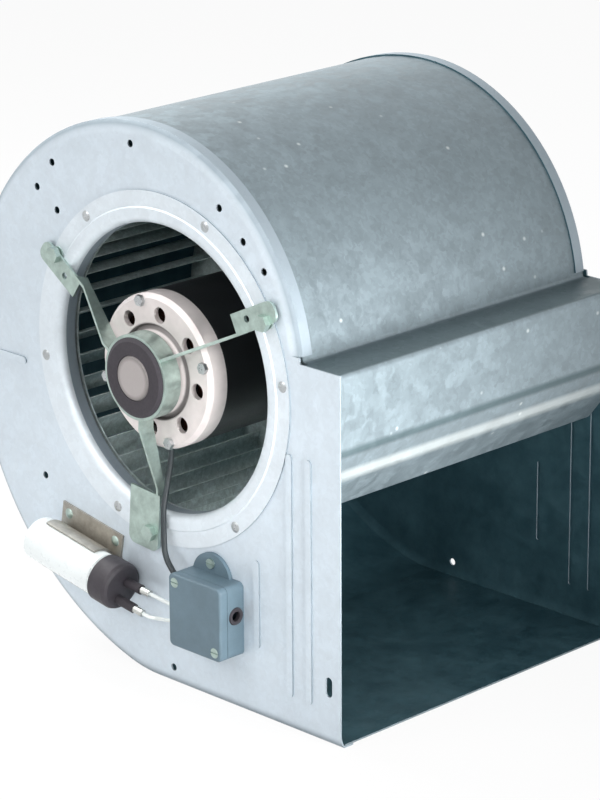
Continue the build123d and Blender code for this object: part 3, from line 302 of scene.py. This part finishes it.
def front_painted_light(tree, place, tone):
    """Tone with the marks of the outlet's top.

    Painted shade darkens the shelf's flat and the seam under the front panel, and a painted
    highlight lies on the cut-off plate's ridge.
    """
    parts = add_node(tree, "SeparateXYZ", place).outputs
    normal = add_node(tree, "TexCoord").outputs["Normal"]
    upward = add_node(tree, "SeparateXYZ", normal).outputs[2]
    level = add_node(tree, "MapRange", upward, 0.8, 0.95).outputs[0]
    front = add_node(tree, "MapRange", parts[1], SHAFT_Y - (FRONT_START - 5) * MM,
                     SHAFT_Y - FRONT_START * MM).outputs[0]
    shelf = band(tree, parts[2], SHAFT_Z + (SHELF_W - 2) * MM, SHAFT_Z + SHELF_W * MM,
                 0.5 * MM)
    shelf = add_node(tree, "Math", shelf, level, operation="MULTIPLY").outputs[0]
    seam = band(tree, parts[2], SHAFT_Z + (SEAM_W - 3) * MM, SHAFT_Z + SEAM_W * MM, 3 * MM)
    # Painted highlight along the cut-off plate's ridge.
    ridge = band(tree, parts[2], SHAFT_Z + (RIDGE_W - 1) * MM, SHAFT_Z + (RIDGE_W + 4) * MM,
                 4 * MM)
    # Painted shade on the shelf and in the seam, a painted highlight on the ridge.
    painted_marks = ((shelf, 0.75, STEP_AND_SEAM_SHADE), (seam, 0.8, STEP_AND_SEAM_SHADE), (ridge, 0.4, RIDGE_HIGHLIGHT_AND_SPECKS))
    for painted_mark, strength, code in painted_marks:
        ahead = add_node(tree, "Math", painted_mark, front, operation="MULTIPLY").outputs[0]
        share = add_node(tree, "Math", ahead, strength, operation="MULTIPLY").outputs[0]
        tone = add_node(tree, "Mix", share, data_type="RGBA", s6=tone,
                        s7=linear(code)).outputs[2]
    return tone


def plated(name, base, roughness):
    """Plated, ground or tinned metal: a bright skin with fine draw lines and dull spots."""
    # Draw and grinding lines are under 0.2 mm wide, too fine to show, so they are drawn 2 mm
    # wide. The spots have the size of water marks.
    line_mm, line_depth, spot_mm = 2.0, 0.01, 9.0
    material, tree, shader, place = new_material(name)
    tone = clouded(tree, place, spot_mm, 0.65, shade(base, 0.7), base)[0]
    tree.links.new(tone, shader.inputs["Base Color"])
    shader.inputs["Metallic"].default_value = 0.9
    line_place_and_rim_shade = add_node(tree, "Mapping", place, Scale=(0.15, 1, 1)).outputs[0]
    lines = add_node(tree, "TexNoise", line_place_and_rim_shade, Scale=1 / (line_mm * MM), Detail=5.0,
                     Roughness=0.7).outputs[0]
    grained(tree, shader, lines, roughness - 0.08, roughness + 0.1, line_depth, 0.5)
    return material


def moulded(name, base, roughness, grain_mm, depth_mm, spread=0.12, metallic=0.0):
    """Moulded or varnished part: grainy skin in one colour, a little uneven from handling."""
    # A moulded grain is 0.1 to 0.3 mm wide, too fine to show, so grain_mm is several times
    # that. The unevenness has the size of a fingertip.
    handled_mm = 14.0
    material, tree, shader, place = new_material(name)
    tone = clouded(tree, place, handled_mm, 0.6, shade(base, 1 - spread),
                   shade(base, 1 + spread))[0]
    tree.links.new(tone, shader.inputs["Base Color"])
    shader.inputs["Metallic"].default_value = metallic
    skin = add_node(tree, "TexNoise", place, Scale=1 / (grain_mm * MM), Detail=4.0,
                    Roughness=0.6).outputs[0]
    grained(tree, shader, skin, roughness - 0.06, roughness + 0.08, depth_mm, 0.6)
    return material


def cast_shield(name, base):
    """Cast aluminium end shield with painted shade in its groove and a darker boss face,
    darkest at its edge as painted shade.
    """
    # Blasting leaves pits of about 0.2 mm, too fine to show, so they are drawn 1.5 mm wide.
    pit_mm, pit_depth, cloud_mm = 1.5, 0.06, 12.0
    groove_shade_share, groove_wall, boss_edge = 0.8, 2.5, 4.0
    material, tree, shader, place = new_material(name)
    tone = clouded(tree, place, cloud_mm, 0.6, shade(base, 0.88), base)[0]
    reach = shaft_radius(tree, place)[0]
    # Painted shade: the groove round the boss is darkened.
    groove = band(tree, reach, (GROOVE_R - groove_wall) * MM, (GROOVE_R + 1) * MM, 1 * MM)
    groove_shade = add_node(tree, "Math", groove, groove_shade_share, operation="MULTIPLY").outputs[0]
    tone = add_node(tree, "Mix", groove_shade, data_type="RGBA", s6=tone,
                    s7=shade(base, 0.12)).outputs[2]
    # The boss face is darker, darkest at its edge as painted shade along the boss's wall.
    boss = add_node(tree, "MapRange", reach, BOSS_R * MM,
                    (BOSS_R - boss_edge) * MM).outputs[0]
    darker_boss = add_node(tree, "ValToRGB", boss, stops=(
        (0.0, shade(base, 0.2)), (1.0, shade(base, 0.5)))).outputs[0]
    near = add_node(tree, "MapRange", reach, (BOSS_R + 1) * MM, BOSS_R * MM).outputs[0]
    tone = add_node(tree, "Mix", near, data_type="RGBA", s6=tone, s7=darker_boss).outputs[2]
    tree.links.new(tone, shader.inputs["Base Color"])
    shader.inputs["Metallic"].default_value = 0.3
    skin = add_node(tree, "TexNoise", place, Scale=1 / (pit_mm * MM), Detail=4.0,
                    Roughness=0.6).outputs[0]
    grained(tree, shader, skin, 0.45, 0.58, pit_depth, 0.6)
    return material


def enamelled(name, base):
    """Varnished copper wire: clear coat over copper, darker where the varnish pooled."""
    pool_mm = 4.0
    material, tree, shader, place = new_material(name)
    tone, pools = clouded(tree, place, pool_mm, 0.6, shade(base, 0.35), base)
    tree.links.new(tone, shader.inputs["Base Color"])
    shader.inputs["Metallic"].default_value = 0.9
    shader.inputs["Coat Weight"].default_value = 0.6
    rough = add_node(tree, "MapRange", pools, 0, 1, 0.42, 0.28).outputs[0]
    tree.links.new(rough, shader.inputs["Roughness"])
    return material


def grid_piece(name, points, material, body, wrap_u=False, wrap_v=False):
    """Mesh over a grid of points, rows first, joined round in either direction, smooth."""
    rows, columns = points.shape[:2]
    number = np.arange(rows * columns).reshape(rows, columns)
    if wrap_u:
        number = np.vstack([number, number[:1]])
    if wrap_v:
        number = np.hstack([number, number[:, :1]])
    quads = np.stack([number[:-1, :-1], number[1:, :-1], number[1:, 1:], number[:-1, 1:]],
                     axis=-1).reshape(-1, 4)
    return mesh_piece(name, points.reshape(-1, 3), quads, material, body)


def mesh_piece(name, points, quads, material, body):
    """Object from point and quad arrays that rides a body in one material."""
    mesh = bpy.data.meshes.new(name)
    mesh.vertices.add(len(points))
    mesh.vertices.foreach_set("co", points.astype(np.float32).ravel())
    mesh.loops.add(quads.size)
    mesh.loops.foreach_set("vertex_index", quads.astype(np.int32).ravel())
    mesh.polygons.add(len(quads))
    mesh.polygons.foreach_set("loop_start", np.arange(0, quads.size, 4, dtype=np.int32))
    mesh.polygons.foreach_set("use_smooth", np.ones(len(quads), dtype=bool))
    mesh.update(calc_edges=True)
    mesh.validate()
    mesh.materials.append(material)
    piece = bpy.data.objects.new(name, mesh)
    bpy.context.scene.collection.objects.link(piece)
    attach(piece, body)
    return piece


def colour(name, description, code):
    """Colour property with an sRGB hex default."""
    return bpy.props.FloatVectorProperty(name=name, description=description, size=4, min=0,
                                         max=1, subtype="COLOR", default=linear(code))


class BlowerFinish(bpy.types.PropertyGroup):
    """Colours and scales of the metal, plastic and rubber surfaces."""
    side_zinc: colour("Side plates", "Zinc of the side plates", "#C9D3DB")
    ring_zinc: colour("Inlet rings", "Zinc of the inlet rings", "#D2DAE0")
    wrap_zinc: colour("Wrap", "Zinc of the wrap and cut-off plate", "#748187")
    wheel_zinc: colour("Wheel", "Zinc of the wheel", "#B4C1C0")
    casting: colour("End shields", "Cast aluminium of the end shields", "#DAD2D0")
    plating: colour("Zinc plating", "Plated arms, collar and screws", "#B6C8C1")
    rubber: colour("Rubber", "Rubber of the mounts and boot", "#2E2A30")
    can: colour("Capacitor", "Plastic of the capacitor's can", "#DEE3E3")
    terminal_box: colour("Terminal box", "Plastic of the terminal box", "#586C77")
    spangle: bpy.props.FloatProperty(
        name="Spangle", description="Width of the zinc crystals in millimetres",
        default=8.0, min=2.0, max=40.0)


class BlowerWinding(bpy.types.PropertyGroup):
    """End turns of the motor's winding."""
    depth: bpy.props.FloatProperty(
        name="Depth", description="Height of the end turns, from the bore outwards, in metres",
        default=0.011, min=0.004, max=0.02, unit="LENGTH")
    strands: bpy.props.IntProperty(
        name="Strands", description="Wires seen round the end turns' section",
        default=16, min=6, max=40)
    ripple: bpy.props.FloatProperty(
        name="Ripple", description="How far each wire stands out, in metres",
        default=0.0003, min=0, max=0.001, unit="LENGTH")


class BlowerStage(bpy.types.PropertyGroup):
    """Floor, lamps and world."""
    key_power: bpy.props.FloatProperty(
        name="Key lamp", description="Power of the large soft lamp on the drive side",
        unit="POWER", default=15.5, min=0)
    fill_power: bpy.props.FloatProperty(
        name="Fill lamp", description="Power of the soft lamp low before the outlet",
        unit="POWER", default=1.5, min=0)
    top_power: bpy.props.FloatProperty(
        name="Top lamp", description="Power of the soft lamp behind and above the scroll",
        unit="POWER", default=26.0, min=0)
    inlet_power: bpy.props.FloatProperty(
        name="Inlet lamp", description="Power of the small lamp that shines into the inlet",
        unit="POWER", default=0.08, min=0)
    floor_glow: bpy.props.FloatProperty(
        name="Floor white", subtype="FACTOR", default=0.93, min=0, max=1,
        description="Share of plain white that the camera sees in the floor")


class BLOWER_OT_housing(bpy.types.Operator):
    """Finishes the wrap, side plates, inlet rings and wheel in galvanised steel"""
    bl_idname = "blower.housing"
    bl_label = "Housing and wheel"

    def execute(self, context):
        finish = context.scene.blower_finish
        # Wrap and cut-off plate: zinc dipped sheet of about 1 mm, rolled and folded. Handling
        # has dulled it to a satin blue grey, so its crystals show as soft patches and lamps as
        # wide glows.
        # Painted light on the wrap: dark clouds on its inside as shade, painted shade on the
        # shelf's flat and in the seam, and a painted highlight on the ridge.
        wrap = galvanised("galvanised_wrap_sheet", finish.wrap_zinc, finish.spangle, 0.17, 0.4,
                          "scroll")
        # Side plates: the same coat with small, rolled-down crystals (skin passed), pressed to
        # shape. It reads as an even, pale matt grey, painted darker over the rounded rim as
        # shade and painted dark as shade on the faces inside the housing.
        side = galvanised("galvanised_side_sheet", finish.side_zinc, finish.spangle, 0.06, 0.5,
                          "plate", (0.99, 0.85))
        # Inlet rings: spun from galvanised blanks, whose forming polished them a little, so
        # the rolled lip carries a narrow bright line.
        # Faces at right angles to the shaft, such as the throat, take the painted rim shade,
        # and faces looking into the housing the painted shade inside.
        ring = galvanised("galvanised_inlet_ring", finish.ring_zinc, finish.spangle, 0.06, 0.45,
                          "plate")
        # Wheel: blades punched from thin galvanised strip with small crystals; in the shade of
        # the housing only their edges and the lower blades catch light.
        wheel = galvanised("galvanised_wheel_sheet", finish.wheel_zinc, finish.spangle / 2,
                           0.3, 0.45, None)
        assign(wrap, "scroll_wrap", "cutoff_plate")
        assign(side, "side_plate_drive", "side_plate_far")
        assign(ring, "inlet_ring_drive", "inlet_ring_far")
        assign(wheel, *(name for name in NODES if name.startswith("wheel_")))
        return {"FINISHED"}


class BLOWER_OT_motor(bpy.types.Operator):
    """Finishes the motor, its mounts and its fasteners, and winds its end turns"""
    bl_idname = "blower.motor"
    bl_label = "Motor and mounts"

    def execute(self, context):
        finish = context.scene.blower_finish
        # End shields: pressure cast aluminium, blasted to a fine pale grain, with painted shade
        # in the groove round the boss and a darker boss face, darkest at its edge as painted
        # shade.
        casting = cast_shield("cast_aluminium", finish.casting)
        assign(casting, "motor_end_shield_front", "motor_end_shield_back")
        # Stator and rotor: stacked steel laminations dipped in black varnish, which fills their
        # seams and leaves one nearly black, faintly glossy skin.
        lamination = moulded("varnished_laminations", linear("#1A1C1E"), 0.4, 1.0, 0.05)
        assign(lamination, "motor_stator", "motor_rotor")
        # Sleeve bearings and washers: pressed and sintered bronze powder, dull yellow brown.
        bronze = plated("sintered_bronze", linear("#A8854E"), 0.45)
        assign(bronze, "motor_sleeve_bearings", "thrust_washers")
        # Mount ring, grommet and sleeves: moulded black rubber with a fine bloom, so a dark
        # grey without a clear highlight.
        rubber = moulded("moulded_black_rubber", finish.rubber, 0.7, 2.0, 0.05)
        assign(rubber, "mount_rubber_ring", "terminal_box_grommet", "capacitor_sleeves")
        # Motor lead: extruded soft PVC sheath, smooth and nearly black with a soft sheen.
        sheath = moulded("extruded_pvc_sheath", linear("#20282C"), 0.5, 1.0, 0.02)
        assign(sheath, "motor_lead")
        # Shaft, screws and rivets: ground or rolled steel, bright grey with short fine lines.
        bright = plated("ground_steel", linear("#C0C4C6"), 0.3)
        assign(bright, "motor_shaft", "hub_set_screw", "motor_through_bolts",
               "motor_through_nuts", "ring_rivets_drive", "ring_rivets_far")
        # Arms, collar and bolts: barrel plated zinc with a clear passivation, which gives the
        # bright grey a green cast and patchy gloss.
        zinc = plated("zinc_plated_steel", finish.plating, 0.36)
        assign(zinc, "mount_collar", "arm_bolts", "arm_nuts", "arm_washers", "motor_arm_front",
               "motor_arm_rear", "motor_arm_bottom", "clip_rivets", "hub_rivets",
               "terminal_box_lid_screws", "terminal_box_ear_screw")
        # Windings: enamelled copper wire dipped in baking varnish, glossy, its red brown
        # darkened as painted shade, since they are seen only through the end shield's holes.
        copper = enamelled("enamelled_copper", linear("#4A2C20"))
        low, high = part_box("motor_windings")
        outer = (high.z - low.z) / 2
        ends = ((low.x, STATOR_LOW.x), (STATOR_HIGH.x, high.x))
        for side, (start, end) in zip(("front", "back"), ends):
            piece = end_turns("winding_" + side, start, end, outer, copper)
            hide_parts("motor_windings")
        return {"FINISHED"}


class BLOWER_OT_electrics(bpy.types.Operator):
    """Finishes the capacitor, the terminal box and the leads"""
    bl_idname = "blower.electrics"
    bl_label = "Capacitor and terminal box"

    def execute(self, context):
        finish = context.scene.blower_finish
        # Capacitor can: white polypropylene from a polished mould, smooth and glossy enough
        # for a soft highlight along it.
        white = moulded("moulded_polypropylene_can", finish.can, 0.3, 3.0, 0.02, 0.03)
        assign(white, "capacitor_can")
        # Terminal box: blue grey ABS from a mould with a spark eroded grain, so it is matt.
        grey = moulded("moulded_abs_box", finish.terminal_box, 0.5, 0.8, 0.04, 0.08)
        assign(grey, "terminal_box_base", "terminal_box_lid")
        # Connectors: stamped brass, dip tinned to a bright, slightly rippled silver.
        tinned = plated("tinned_brass", linear("#DADCD8"), 0.3)
        assign(tinned, "capacitor_connectors")
        # Capacitor leads: extruded pale PVC insulation, smooth with a soft sheen.
        pale = moulded("extruded_pvc_insulation", linear("#DDE2E0"), 0.4, 1.0, 0.01, 0.05)
        assign(pale, "capacitor_leads")
        # Spring clip: hardened strip with a thin zinc coat over oil-blackened steel, which
        # leaves a dull warm grey.
        clip = plated("zinc_coated_spring_steel", linear("#B4B0A8"), 0.45)
        assign(clip, "capacitor_clip")
        # Terminal boot: dip moulded soft rubber with uneven walls, so its black is cloudy.
        boot = moulded("dip_moulded_rubber", finish.rubber, 0.55, 3.0, 0.08, 0.25)
        assign(boot, "capacitor_boot")
        return {"FINISHED"}


class BLOWER_OT_stage(bpy.types.Operator):
    """Sets a pale floor, soft lamps, a plain world and the camera"""
    bl_idname = "blower.stage"
    bl_label = "Stage and camera"

    def execute(self, context):
        stage = context.scene.blower_stage
        set_floor(stage.floor_glow)
        set_world()
        powers = (stage.key_power, stage.fill_power, stage.top_power, stage.inlet_power)
        for (name, place, aim, size, spread), power in zip(LAMPS, powers):
            area_lamp(name, spot(*place), spot(*aim), size, power, spread)
        set_camera()
        context.scene.view_settings.view_transform = "Standard"
        return {"FINISHED"}


def end_turns(name, start_x, end_x, outer_r, material):
    """Ring of wires beside the stack.

    A flattened circle (power 4) is carried round the shaft; round it the surface bulges as
    the absolute sine of the wires' count, slowly twisted, and it swells at each lacing.
    """
    steps, steps_per_wire, twists, lacings = 160, 6, 6, 24
    winding = bpy.context.scene.blower_winding
    around = np.linspace(0, 2 * np.pi, steps, endpoint=False)[:, None]
    section = np.linspace(0, 2 * np.pi, steps_per_wire * winding.strands,
                          endpoint=False)[None, :]
    half_depth, half_length = winding.depth / 2, (end_x - start_x) / 2
    outward, along = np.cos(section), np.sin(section)
    square = (outward ** 4 + along ** 4) ** -0.25
    turn = winding.strands / 2 * section + twists * around
    wires = winding.ripple * (np.abs(np.sin(turn)) - 1)
    lacing = winding.ripple * np.clip(np.cos(lacings * around) * 4 - 3, 0, 1)
    swell = (half_depth * square + wires + lacing) * outward
    reach = outer_r - half_depth + swell - winding.ripple
    x = (start_x + end_x) / 2 + ((half_length - winding.ripple) * square + wires) * along
    points = np.stack(np.broadcast_arrays(x, SHAFT_Y + reach * np.cos(around),
                                          SHAFT_Z + reach * np.sin(around)), axis=-1)
    return grid_piece(name, points, material, "casing", True, True)


def seen_mix(tree):
    """Mix factor socket: 1 where camera, glossy or transmission rays see the surface."""
    path = add_node(tree, "LightPath")
    rays = [path.outputs[name] for name in
            ("Is Camera Ray", "Is Glossy Ray", "Is Transmission Ray")]
    either = add_node(tree, "Math", rays[0], rays[1], operation="MAXIMUM").outputs[0]
    return add_node(tree, "Math", either, rays[2], operation="MAXIMUM").outputs[0]


def set_floor(glow_share):
    """Large matt white floor; seen directly it is mostly plain white and keeps the shadow."""
    size = 12.0
    mesh = bpy.data.meshes.new("studio_floor")
    corners = [(-size, -size, 0), (size, -size, 0), (size, size, 0), (-size, size, 0)]
    mesh.from_pydata(corners, [], [(0, 1, 2, 3)])
    floor = bpy.data.objects.new("studio_floor", mesh)
    bpy.context.scene.collection.objects.link(floor)
    material = bpy.data.materials.new("studio_floor_paper")
    material.use_nodes = True
    tree = material.node_tree
    tree.nodes.clear()
    # Background paper: matt coated card, an even white that only keeps soft shadows.
    paper = add_node(tree, "BsdfDiffuse", Color=linear("#F2F2F2")).outputs[0]
    glow = add_node(tree, "Emission", Color=linear("#FFFFFF"), Strength=1.0).outputs[0]
    share = add_node(tree, "Math", seen_mix(tree), glow_share,
                     operation="MULTIPLY").outputs[0]
    shown = add_node(tree, "MixShader", share, paper, glow)
    add_node(tree, "OutputMaterial", Surface=shown.outputs[0])
    mesh.materials.append(material)


def set_world():
    """Even pale surroundings; seen directly and in reflections they are white."""
    plain_strength = 0.28
    world = bpy.data.worlds.new("studio_world")
    world.use_nodes = True
    tree = world.node_tree
    tree.nodes.clear()
    around = add_node(tree, "Background", Color=linear("#F4F7FA"),
                      Strength=plain_strength).outputs[0]
    white = add_node(tree, "Background", Color=linear("#FFFFFF"), Strength=1.0).outputs[0]
    shown = add_node(tree, "MixShader", seen_mix(tree), around, white)
    add_node(tree, "OutputWorld", Surface=shown.outputs[0])
    bpy.context.scene.world = world


def area_lamp(name, place, aim, size, power, spread):
    """Square soft lamp turned to its aim, with its beam's spread in degrees."""
    lamp = bpy.data.lights.new(name, "AREA")
    lamp.size = size
    lamp.energy = power
    lamp.spread = radians(spread)
    holder = bpy.data.objects.new(name, lamp)
    holder.location = place
    holder.rotation_euler = (aim - place).to_track_quat("-Z", "Y").to_euler()
    bpy.context.scene.collection.objects.link(holder)


def set_camera():
    """Long lens camera at the photograph's angle."""
    yaw, rise, roll = (radians(v) for v in (CAMERA_YAW, CAMERA_RISE, CAMERA_ROLL))
    back = Vector((sin(yaw) * cos(rise), -cos(yaw) * cos(rise), sin(rise)))
    right = Vector((0, 0, 1)).cross(back).normalized()
    up = back.cross(right)
    across = cos(roll) * right + sin(roll) * up
    upright = -sin(roll) * right + cos(roll) * up
    x, y, z = CAMERA_OFFSET
    place = spot(0, 0, 0) + (back * z + across * x + upright * y) * MM
    camera = bpy.data.cameras.new("camera")
    camera.sensor_fit = "VERTICAL"
    camera.sensor_height = SENSOR
    camera.sensor_width = SENSOR
    camera.lens = CAMERA_LENS
    camera.clip_end = 100
    holder = bpy.data.objects.new("camera", camera)
    turn = Matrix((across, upright, back)).transposed()
    holder.matrix_world = Matrix.Translation(place) @ turn.to_4x4()
    bpy.context.scene.collection.objects.link(holder)
    bpy.context.scene.camera = holder


class BLOWER_PT_panel(bpy.types.Panel):
    """Sizes, colours and builders of the blower"""
    bl_idname = "BLOWER_PT_panel"
    bl_label = "Centrifugal blower"
    bl_space_type = "VIEW_3D"
    bl_region_type = "UI"
    bl_category = "Blower"

    def draw(self, context):
        layout = self.layout
        scene = context.scene
        for group in (scene.blower_finish, scene.blower_winding, scene.blower_stage):
            box = layout.box()
            for key in group.__annotations__:
                box.prop(group, key)
        for operator in OPERATORS:
            layout.operator(operator.bl_idname)


OPERATORS = (BLOWER_OT_housing, BLOWER_OT_motor, BLOWER_OT_electrics, BLOWER_OT_stage)
CLASSES = (BlowerFinish, BlowerWinding, BlowerStage) + OPERATORS + (BLOWER_PT_panel,)


def register():
    """Adds the classes and the scene's property groups."""
    for item in CLASSES:
        bpy.utils.register_class(item)
    bpy.types.Scene.blower_finish = bpy.props.PointerProperty(type=BlowerFinish)
    bpy.types.Scene.blower_winding = bpy.props.PointerProperty(type=BlowerWinding)
    bpy.types.Scene.blower_stage = bpy.props.PointerProperty(type=BlowerStage)


def unregister():
    """Takes them away again."""
    del bpy.types.Scene.blower_stage
    del bpy.types.Scene.blower_winding
    del bpy.types.Scene.blower_finish
    for item in reversed(CLASSES):
        bpy.utils.unregister_class(item)


def main():
    """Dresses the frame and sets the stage."""
    register()
    bpy.ops.blower.housing()
    bpy.ops.blower.motor()
    bpy.ops.blower.electrics()
    bpy.ops.blower.stage()


if __name__ == "__main__":
    main()
